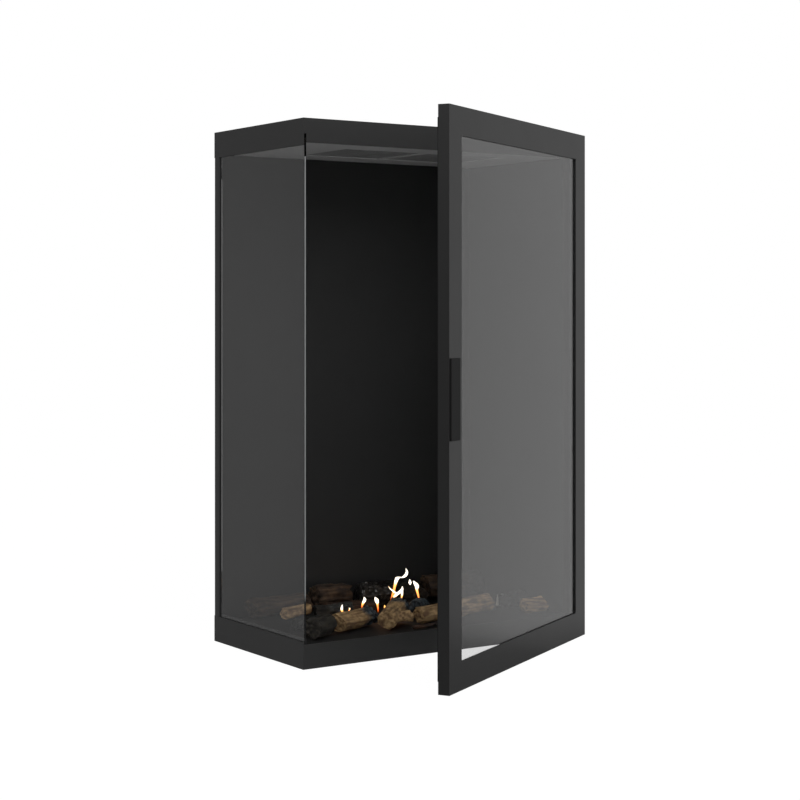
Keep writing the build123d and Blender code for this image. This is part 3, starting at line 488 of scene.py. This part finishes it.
def carved_log(name, looks, seed):
    """A log piece: a copy of its CAD solid with grain, bark and charcoal, and its burn as a colour layer."""
    piece = even_copy(name)
    carved = piece.data
    count = len(carved.vertices)
    points = np.empty(count * 3)
    carved.vertices.foreach_get("co", points)
    points = points.reshape(-1, 3)
    normals = np.array([vertex.normal[:] for vertex in carved.vertices])
    middle, axes = log_frame(points)
    local = (points - middle) @ axes
    stations = local[:, 0] / np.abs(local[:, 0]).max()
    colours = np.ones((count, 4))
    for i in range(count):
        raised, pulled, colours[i, :3] = carve_point(local[i] / MM, stations[i], looks, seed)
        points[i] += normals[i] * raised * MM
        points[i] -= axes[:, 0] * pulled * MM
    points[:, 2] = np.maximum(points[:, 2], FLOOR_TOP_MM * MM)
    carved.vertices.foreach_set("co", points.ravel())
    burn = carved.color_attributes.new("burn", "FLOAT_COLOR", "POINT")
    burn.data.foreach_set("color", colours.ravel())
    carved.shade_smooth()
    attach(piece, "casing")
    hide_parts(name)
    return piece


# %% [markdown]
# ## Hand-painted ceramic
# One recipe serves every log: a wood colour streaked by the carved grain, and a charcoal colour that is paler
# on its raised cells, ash with a painted highlight, and black in its cracks, char with a painted shade. The
# carving's own layers drive both, so paint and relief agree.

# %% Define the log paint
def log_paint(name, wood_code, streak_code, char_and_crack_shade_code, ash_and_highlight_code, gloss):
    """Painted ceramic fibre: wood colour with darker streaks, turning to charcoal where the log is burnt."""
    material, _ = new_material(name)
    layers = add_node(material, "ShaderNodeVertexColor", layer_name="burn")
    parts = add_node(material, "ShaderNodeSeparateColor", {"Color": layers.outputs["Color"]})
    place = add_node(material, "ShaderNodeTexCoord")
    blotch = add_node(material, "ShaderNodeTexNoise", {"Vector": place.outputs["Object"]},
                      scale=1 / (14 * MM), detail=4.0)
    streak = add_node(material, "ShaderNodeMath", {0: parts.outputs["Green"], 1: blotch.outputs[0]},
                      operation="MULTIPLY")
    steep = add_node(material, "ShaderNodeMapRange", {"Value": streak.outputs[0]},
                     from_min=0.12, from_max=0.42)
    wood = add_node(material, "ShaderNodeMix", {"Factor": steep.outputs[0]}, data_type="RGBA")
    wood.inputs[6].default_value = srgb(streak_code)
    wood.inputs[7].default_value = srgb(wood_code)
    # painted shade and highlight over real charcoal colour: cracks take the black char colour, raised cells
    # the paler ash colour
    coal = add_node(material, "ShaderNodeMix", {"Factor": parts.outputs["Blue"]}, data_type="RGBA")
    coal.inputs[6].default_value = srgb(char_and_crack_shade_code)
    coal.inputs[7].default_value = srgb(ash_and_highlight_code)
    paints = {"Factor": parts.outputs["Red"], 6: wood.outputs[2], 7: coal.outputs[2]}
    both = add_node(material, "ShaderNodeMix", paints, data_type="RGBA")
    plug(material, "Base Color", both.outputs[2])
    rough = add_node(material, "ShaderNodeMapRange", {"Value": parts.outputs["Red"]},
                     to_min=0.8, to_max=gloss)
    plug(material, "Roughness", rough.outputs[0])
    grit = add_node(material, "ShaderNodeTexNoise", {"Vector": place.outputs["Object"]},
                    scale=1 / (1.6 * MM), detail=3.0)
    add_bump(material, grit.outputs[0], 0.5, 0.6)
    return material


tan_paint = log_paint("ceramic_split_oak_paint", "B8986B", "684F36", "15191C", "4E5960", 0.5)
brown_paint = log_paint("ceramic_brown_bark_paint", "54402E", "261C15", "151514", "38362F", 0.6)
rough_paint = log_paint("ceramic_red_bark_paint", "513726", "231810", "141110", "352D26", 0.6)
grey_paint = log_paint("ceramic_grey_bark_paint", "3A352D", "1A1815", "121312", "3B3C39", 0.55)
coal_paint = log_paint("ceramic_glossy_charcoal_paint", "2B2722", "141210", "0B0B0B", "34322E", 0.3)

# %% Carve and paint every log
# Each row: paint, depth of the grain and of the bark in mm, and where along the log the charcoal starts
# (-1 and 1 are its ends, so -2 is burnt all over).
log_looks = {
    "log_front_left": (grey_paint, 0.5, 0.9, 0.9),
    "log_front_middle": (tan_paint, 0.6, 0.3, 0.15),
    "log_front_tilted": (tan_paint, 0.6, 0.3, 0.35),
    "log_ember_plank": (rough_paint, 0.5, 0.2, -0.3),
    "log_front_right": (tan_paint, 0.5, 0.3, 0.8),
    "log_blue_black": (tan_paint, 0.5, 0.4, -2.0),
    "log_right_front": (tan_paint, 0.5, 0.3, 0.9),
    "log_right_charred": (grey_paint, 0.5, 0.4, -2.0),
    "log_left_under": (grey_paint, 0.5, 0.5, -2.0),
    "log_left_middle": (grey_paint, 0.5, 0.6, -0.4),
    "log_left_branch": (tan_paint, 0.5, 0.4, 0.7),
    "log_plank": (rough_paint, 0.5, 0.3, 0.4),
    "log_back_left": (brown_paint, 0.8, 1.6, 1.2),
    "log_back_rough": (brown_paint, 1.0, 2.4, 1.2),
    "log_back_black": (coal_paint, 0.5, 0.5, -2.0),
    "log_end_on": (grey_paint, 0.6, 1.2, 0.9),
    "log_back_right": (brown_paint, 0.6, 1.0, 0.1),
}
SEED_STEP = 3.7
for k, name in enumerate(logs):
    paint, *looks = log_looks[name]
    piece = carved_log(name, looks, SEED_STEP * k)
    piece.data.materials.clear()
    piece.data.materials.append(paint)
print("carved", len(logs), "logs")

# %% [markdown]
# ## Flames
# The photograph shows the fire lit. A flame has no skin, but a thin curved blade of glowing mesh reads
# as one from every side. Here the tips are white and hot, and the feet orange and then clear. Each blade
# follows a short line of rings, wider in the middle, and starts between the logs over the burner's deck.

# %% Make the flame's glow
flame_glow, shader = new_material("burning_gas")
layers = add_node(flame_glow, "ShaderNodeVertexColor", layer_name="fire_glow")
heat = add_node(flame_glow, "ShaderNodeSeparateColor", {"Color": layers.outputs["Color"]})
ramp = add_node(flame_glow, "ShaderNodeValToRGB", {"Fac": heat.outputs["Red"]})
stops = ramp.color_ramp.elements
stops[0].position, stops[0].color = 0.0, srgb("5A1408")
stops[1].position, stops[1].color = 0.62, srgb("FFF3E0")
middle_stop = stops.new(0.25)
middle_stop.color = srgb("E8641E")
light_stop = stops.new(0.45)
light_stop.color = srgb("FFC46A")
shader.inputs["Base Color"].default_value = (0, 0, 0, 1)
shader.inputs["Roughness"].default_value = 1.0
shader.inputs["Specular IOR Level"].default_value = 0.0
shader.inputs["Emission Strength"].default_value = 2.2
plug(flame_glow, "Emission Color", ramp.outputs["Color"])
clear = add_node(flame_glow, "ShaderNodeMapRange", {"Value": heat.outputs["Red"]}, from_min=0.0, from_max=0.3)
plug(flame_glow, "Alpha", clear.outputs[0])
print("flame colours:", len(stops))


# %% Define a flame
FLAME_SIDES = 10
STEPS_PER_ROW = 5
FLATNESS = 0.3
WAVER_SHARE = 0.12
WAVER_PER_MM = 0.1
ACROSS_PICTURE = np.array(Vector((math.cos(CAMERA_TURN), math.sin(CAMERA_TURN), 0)))
INTO_PICTURE = np.array((0.5585, 0.8295, 0.0))


def smooth_line(values, count):
    """Catmull-Rom samples through rows of numbers."""
    rows = [values[0]] + list(values) + [values[-1]]
    out = []
    for i in range(1, len(rows) - 2):
        a, b, c, d = (np.array(rows[i + k], dtype=float) for k in (-1, 0, 1, 2))
        for k in range(count):
            t = k / count
            bend = 2 * b + (c - a) * t + (2 * a - 5 * b + 4 * c - d) * t * t
            out.append(0.5 * (bend + (3 * b - a - 3 * c + d) * t ** 3))
    out.append(np.array(values[-1], dtype=float))
    return out


def flame(name, foot, line):
    """A blade of flame. The line's rows are side, height, width and heat, in mm from the foot."""
    builder = bmesh.new()
    heats = []
    rings = []
    for sideways, up, width, hot in smooth_line(line, STEPS_PER_ROW):
        ring = []
        waver = WAVER_SHARE * up * math.sin(WAVER_PER_MM * up)
        for k in range(FLAME_SIDES):
            turn = 2 * math.pi * k / FLAME_SIDES
            place = np.array(foot) + ACROSS_PICTURE * (sideways + width / 2 * math.cos(turn))
            place += INTO_PICTURE * (width * FLATNESS * math.sin(turn) + waver)
            place[2] += up
            ring.append(builder.verts.new(Vector(place * MM)))
            core = 0.75 + 0.25 * abs(math.sin(turn))
            heats.extend((hot * core, 0, 0, 1))
        rings.append(ring)
    skin(builder, rings)
    blade = built_piece(name, builder, flame_glow, "casing")
    glow = blade.data.color_attributes.new("fire_glow", "FLOAT_COLOR", "POINT")
    glow.data.foreach_set("color", heats)
    blade.data.shade_smooth()
    blade.visible_shadow = False


# %% Light the burner
flame("flame_tall", (-19, -0.5, 46), [
    (-1, 0, 2, 0.1), (0, 18, 3, 0.22), (3, 32, 4.5, 0.28), (6, 45, 5, 0.34), (9, 58, 5, 0.42),
    (12, 68, 7, 0.75), (16, 74, 9, 0.95), (23, 73, 8, 1.0), (30, 77, 7, 1.0), (33, 84, 4.5, 1.0),
    (31, 92, 1, 1.0)])
flame("flame_middle", (-19, -5.5, 46), [
    (-2, 8, 1.5, 0.1), (-1, 20, 3, 0.24), (2, 31, 4.5, 0.35), (7, 39, 7, 0.6), (13, 45, 9, 0.95),
    (18, 49, 8, 1.0), (21, 54, 4, 1.0), (21, 58, 1, 0.9)])
flame("flame_middle_tail", (-19, -5.5, 46), [
    (18, 28, 1, 0.1), (19.5, 35, 2.5, 0.35), (20.5, 42, 4, 0.6), (21, 50, 3, 0.9)])
flame("flame_middle_tip", (-19, -5.5, 46), [
    (8, 45, 6, 0.9), (3, 49.5, 4.5, 0.85), (-2, 53, 3, 0.7), (-6.3, 58, 0.8, 0.5)])
flame("flame_right", (55, 4.5, 46), [
    (-1, 12, 1, 0.1), (-1.3, 24, 2.5, 0.3), (-3.5, 35, 4, 0.38), (-5.5, 44, 5, 0.5), (-5.5, 51, 8, 0.95),
    (-8, 56, 8, 1.0), (-12.3, 61, 1.5, 1.0)])
flame("flame_bead", (31, 1.5, 46), [(-1, 56, 1, 0.9), (-1, 60, 6, 1.0), (-1.5, 66, 1, 1.0)])
flame("flame_left", (-171, -60.5, 46), [
    (4, 18, 1, 0.1), (4, 25, 3, 0.3), (1, 32, 4.5, 0.45), (1, 38, 4, 0.9), (2, 44, 0.8, 0.95)])
flame("flame_left_hook", (-158, -58.5, 46), [
    (2, 28, 1, 0.25), (5, 31, 2.5, 0.4), (6, 35, 2.5, 0.6), (3, 35.5, 1, 0.7)])
flame("flame_centre_left", (-102, -20.5, 46), [
    (2, 20, 1, 0.1), (3, 28, 3, 0.3), (5, 34, 5, 0.5), (7.5, 39, 6, 0.9), (8.5, 43, 5, 1.0), (7, 47, 1, 1.0)])
flame("flame_centre", (-71, -30.5, 46), [
    (3, 14, 1, 0.1), (2.5, 22, 2.5, 0.3), (1.6, 30, 4, 0.42), (0.5, 37, 7.5, 0.9), (-0.5, 41, 7, 1.0),
    (-3, 45.5, 1, 1.0)])
flame("flame_small", (-55, -30.5, 46), [(2.5, 18, 1, 0.2), (2.5, 23, 3.5, 0.42), (2.5, 27, 1, 0.45)])

# %% [markdown]
# ## Polished glass edge
# The front edge of the fixed pane is ground and polished. A clear pane's edge gathers the light that travels
# inside the glass, so it shows as one pale line, darker at the foot. A narrow rounded bead with a ground
# finish, laid on the edge, gives that
# line: its pale colour is a painted glow standing in for the light inside the glass, and its darker foot is a
# painted dark reflection.

# %% Make the ground finish, with its painted glow and painted dark foot
edge_glow_glass, shader = new_material("ground_glass_edge_painted_glow")
shader.inputs["Roughness"].default_value = 0.35
shader.inputs["IOR"].default_value = 1.5
place = add_node(edge_glow_glass, "ShaderNodeTexCoord")
parts = add_node(edge_glow_glass, "ShaderNodeSeparateXYZ", {"Vector": place.outputs["Object"]})
# painted dark reflection: below about 130 mm the edge's colour turns dark
painted_dark_foot = add_node(edge_glow_glass, "ShaderNodeMapRange", {"Value": parts.outputs["Z"]},
                  from_min=122 * MM, from_max=136 * MM)
tone = add_node(edge_glow_glass, "ShaderNodeMix", {0: painted_dark_foot.outputs[0]}, data_type="RGBA")
# the dark colour is the painted reflection at the foot, the pale colour the painted glow above it
tone.inputs[6].default_value = srgb("1E1E1E")
tone.inputs[7].default_value = srgb("A2A4A4")
plug(edge_glow_glass, "Base Color", tone.outputs[2])
grinding = add_node(edge_glow_glass, "ShaderNodeTexNoise", {"Vector": place.outputs["Object"]},
                    scale=1 / (0.8 * MM))
add_bump(edge_glow_glass, grinding.outputs[0], 0.2, 0.1)

# %% Lay the pale bead on the pane's edge
BEAD_HALF = 1.2 * MM
BEAD_RISE = 0.25 * MM
BEAD_FOOT = 4 * MM
BEAD_TOP = 930 * MM
BEAD_STEPS = 8
HALF_GLASS = 2.0 * MM
glass_low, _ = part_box("side_glass")
middle_x = glass_low[0] + HALF_GLASS
builder = bmesh.new()
rings = []
for z in (glass_low[2] + BEAD_FOOT, BEAD_TOP):
    ring = []
    for k in range(BEAD_STEPS + 1):
        turn = math.pi * k / BEAD_STEPS
        ring.append(builder.verts.new((middle_x - BEAD_HALF * math.cos(turn),
                                       glass_low[1] - BEAD_RISE * math.sin(turn), z)))
    rings.append(ring)
skin(builder, rings)
edge_bead = built_piece("side_glass_edge", builder, edge_glow_glass, "casing")
print("edge bead ends at", round(max(vertex.co.z for vertex in edge_bead.data.vertices) / MM), "mm")

# %% [markdown]
# ## Fasteners
# Sheet steel like this is riveted or screwed together from behind. Pan-head screws hold the back sheet to
# the rear posts, the flue collars to their plates and the door's back frame to its rails. They are small
# and alike, so one function turns them all from one outline and gives each its cross recess.

# %% Define a pan-head screw
SCREW_SIDES = 24
DOME = [(1.0, 0.0), (1.0, 0.35), (0.93, 0.6), (0.78, 0.82), (0.55, 0.96), (0.3, 1.0)]
ARM_SHARE = 0.22
NOTCH_SHARE = 0.09
RECESS_FLOOR = 0.45
HINGE_X_MM = 312.0
HINGE_Y_MM = -182.9
OPEN_BY = math.radians(29.2)


def screw_ring(builder, radii, height):
    """A ring of points at a height, in mm, with a radius for each."""
    ring = []
    for k, radius in enumerate(radii):
        turn = 2 * math.pi * k / len(radii)
        x, y = radius * math.cos(turn), radius * math.sin(turn)
        ring.append(builder.verts.new((x * MM, y * MM, height * MM)))
    return ring


def pan_head(name, place, outward, body, across_mm=7.0, tall_mm=2.2):
    """A domed screw head with a cross recess, standing on a surface and facing outward."""
    builder = bmesh.new()
    rings = []
    for share, rise in DOME:
        rings.append(screw_ring(builder, [share * across_mm / 2] * SCREW_SIDES, rise * tall_mm))
    cross = [ARM_SHARE if k % 6 in (0, 1, 5) else NOTCH_SHARE for k in range(SCREW_SIDES)]
    rings.append(screw_ring(builder, [share * across_mm for share in cross], RECESS_FLOOR * tall_mm))
    skin(builder, rings)
    facing = Vector(outward).to_track_quat("Z", "X").to_matrix().to_4x4()
    head = built_piece(name, builder, black_zinc, body, Matrix.Translation(Vector(place) * MM) @ facing)


def on_door(x, y, z):
    """A point of the closed door, in mm, moved to where it is in the photographed pose."""
    pivot = Vector((HINGE_X_MM, HINGE_Y_MM, 0))
    turned = Matrix.Rotation(OPEN_BY, 3, "Z") @ (Vector((x, y, 0)) - pivot) + pivot
    return (turned.x, turned.y, z)


# %% Screw the sheets together
BACK_FACE_MM = 170.5
FLUE_Y_MM = -14.5
COLLAR_SCREW_RADIUS_MM = 81
COLLAR_FLANGE_TOP_MM = 991.2
DOOR_BACK_MM = -172.4
post_rows = [(x, z) for z in (75, 250, 430, 610, 790, 925) for x in (-311, 311)]
cross_rows = [(x, z) for x in (-240, -80, 80, 240) for z in (25, 975)]
for k, (x, z) in enumerate(post_rows + cross_rows):
    pan_head(f"back_screw_{k}", (x, BACK_FACE_MM, z), (0, 1, 0), "casing")
for k in range(6):
    turn = math.radians(60 * k + 30)
    place = (COLLAR_SCREW_RADIUS_MM * math.cos(turn), FLUE_Y_MM + COLLAR_SCREW_RADIUS_MM * math.sin(turn))
    pan_head(f"collar_screw_{k}", (*place, COLLAR_FLANGE_TOP_MM), (0, 0, 1), "casing", 6.0)
door_way = Matrix.Rotation(OPEN_BY, 3, "Z") @ Vector((0, 1, 0))
for k, z in enumerate((60, 280, 500, 720, 940)):
    for side, x in (("free", -308), ("hinge", 291)):
        pan_head(f"door_screw_{side}_{k}", on_door(x, DOOR_BACK_MM, z), door_way, "door", 6.0, 1.4)

# %% [markdown]
# The Standard view keeps colours as written.

# %% Finish
bpy.context.scene.view_settings.view_transform = "Standard"
